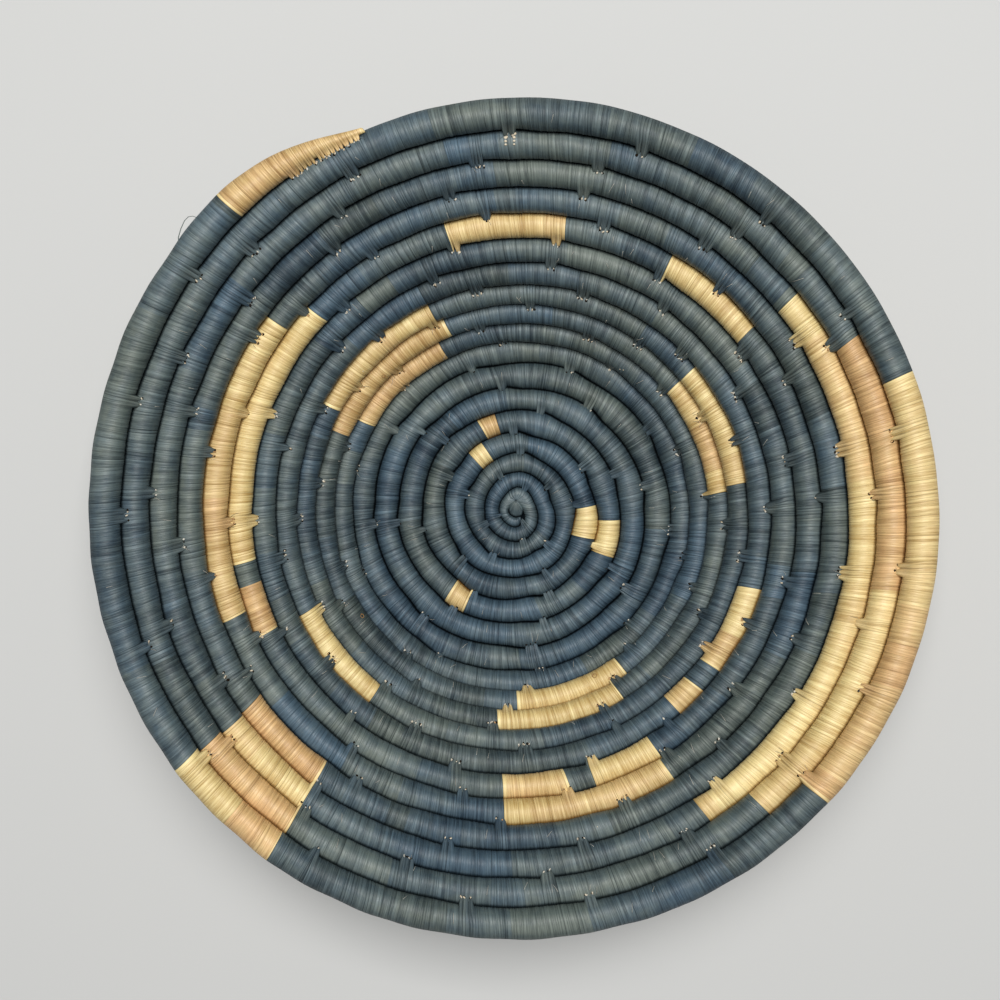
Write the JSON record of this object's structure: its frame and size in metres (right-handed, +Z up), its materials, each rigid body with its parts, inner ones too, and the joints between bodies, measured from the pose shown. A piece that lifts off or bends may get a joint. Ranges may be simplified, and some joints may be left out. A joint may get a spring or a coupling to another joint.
{
  "type": "coiled basket bowl",
  "caption": "Round coiled basket bowl with a flat base and flared side: one spiral grass coil wrapped in blue-grey dyed raffia with short undyed runs, ending in a tapered tip.",
  "frame": {"origin": "centre of the base at the height of the surface that it stands on, below the middle of the bowl's box", "axes": "+Z up out of the open bowl; +X to the right and +Y away from a viewer who looks down at it; the coil winds outward clockwise seen from above, from turn 0 at +X"},
  "size_m": [0.3048, 0.3002, 0.0834],
  "materials": {
    "dyed_raffia": "satin",
    "undyed_raffia": "satin",
    "grass_bundle": "matte"
  },
  "bodies": {
    "root": {"blue_wrap_01": "dyed_raffia", "blue_wrap_02": "dyed_raffia", "blue_wrap_03": "dyed_raffia", "blue_wrap_04": "dyed_raffia", "blue_wrap_05": "dyed_raffia", "blue_wrap_06": "dyed_raffia", "blue_wrap_07": "dyed_raffia", "blue_wrap_08": "dyed_raffia", "blue_wrap_09": "dyed_raffia", "blue_wrap_10": "dyed_raffia", "blue_wrap_11": "dyed_raffia", "blue_wrap_12": "dyed_raffia", "blue_wrap_13": "dyed_raffia", "blue_wrap_14": "dyed_raffia", "blue_wrap_15": "dyed_raffia", "blue_wrap_16": "dyed_raffia", "blue_wrap_17": "dyed_raffia", "blue_wrap_18": "dyed_raffia", "blue_wrap_19": "dyed_raffia", "blue_wrap_20": "dyed_raffia", "blue_wrap_21": "dyed_raffia", "blue_wrap_22": "dyed_raffia", "blue_wrap_23": "dyed_raffia", "blue_wrap_24": "dyed_raffia", "blue_wrap_25": "dyed_raffia", "blue_wrap_26": "dyed_raffia", "blue_wrap_27": "dyed_raffia", "blue_wrap_28": "dyed_raffia", "blue_wrap_29": "dyed_raffia", "blue_wrap_30": "dyed_raffia", "grass_core": "grass_bundle", "natural_wrap_01": "undyed_raffia", "natural_wrap_02": "undyed_raffia", "natural_wrap_03": "undyed_raffia", "natural_wrap_04": "undyed_raffia", "natural_wrap_05": "undyed_raffia", "natural_wrap_06": "undyed_raffia", "natural_wrap_07": "undyed_raffia", "natural_wrap_08": "undyed_raffia", "natural_wrap_09": "undyed_raffia", "natural_wrap_10": "undyed_raffia", "natural_wrap_11": "undyed_raffia", "natural_wrap_12": "undyed_raffia", "natural_wrap_13": "undyed_raffia", "natural_wrap_14": "undyed_raffia", "natural_wrap_15": "undyed_raffia", "natural_wrap_16": "undyed_raffia", "natural_wrap_17": "undyed_raffia", "natural_wrap_18": "undyed_raffia", "natural_wrap_19": "undyed_raffia", "natural_wrap_20": "undyed_raffia", "natural_wrap_21": "undyed_raffia", "natural_wrap_22": "undyed_raffia", "natural_wrap_23": "undyed_raffia", "natural_wrap_24": "undyed_raffia", "natural_wrap_25": "undyed_raffia", "natural_wrap_26": "undyed_raffia", "natural_wrap_27": "undyed_raffia", "natural_wrap_28": "undyed_raffia"}
  },
  "joints": []
}
